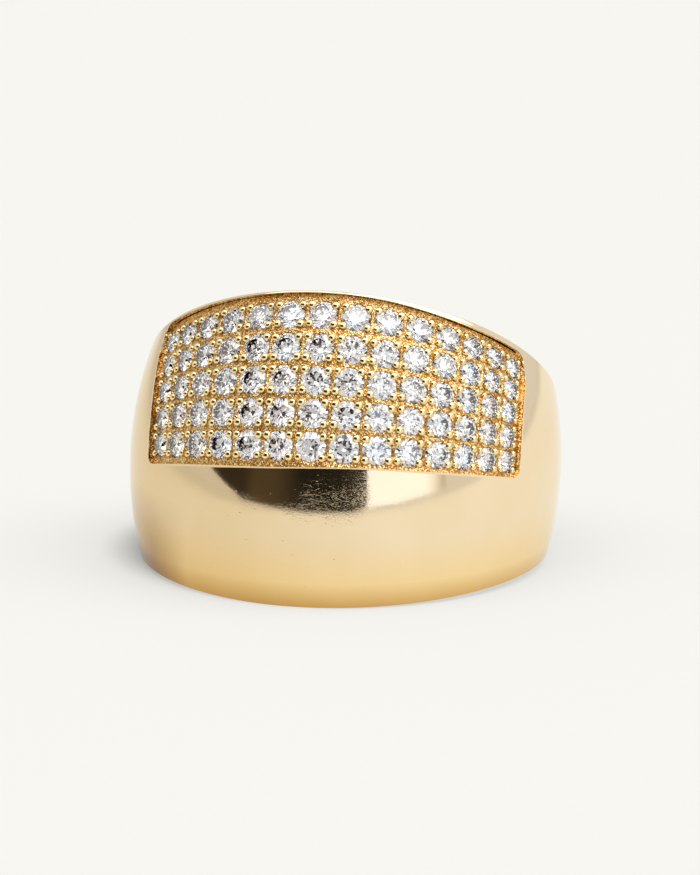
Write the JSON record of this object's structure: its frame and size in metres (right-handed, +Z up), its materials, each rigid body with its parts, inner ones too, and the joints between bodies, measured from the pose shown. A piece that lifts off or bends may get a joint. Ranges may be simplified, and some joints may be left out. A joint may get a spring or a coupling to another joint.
{
  "type": "dome ring",
  "caption": "Gold dome ring, wide at the front and narrowing to the back, with a sunken bead-set field of round clear stones over the upper half of its polished dome.",
  "frame": {"origin": "middle of the ring's bounding box on the surface that it lies on", "axes": "+Z up from the surface the ring lies on, -Y to the wide front of the dome, +X to its right end as seen from the front; the finger hole leans back with the ring"},
  "size_m": [0.0222, 0.0224, 0.0155],
  "materials": {
    "gold": "polished yellow gold, matt and grainy on the floor of the stone field",
    "diamond": "clear cut stone, bright facets"
  },
  "bodies": {
    "root": {"ring_body": "gold", "pave_stones": "diamond"}
  },
  "joints": []
}
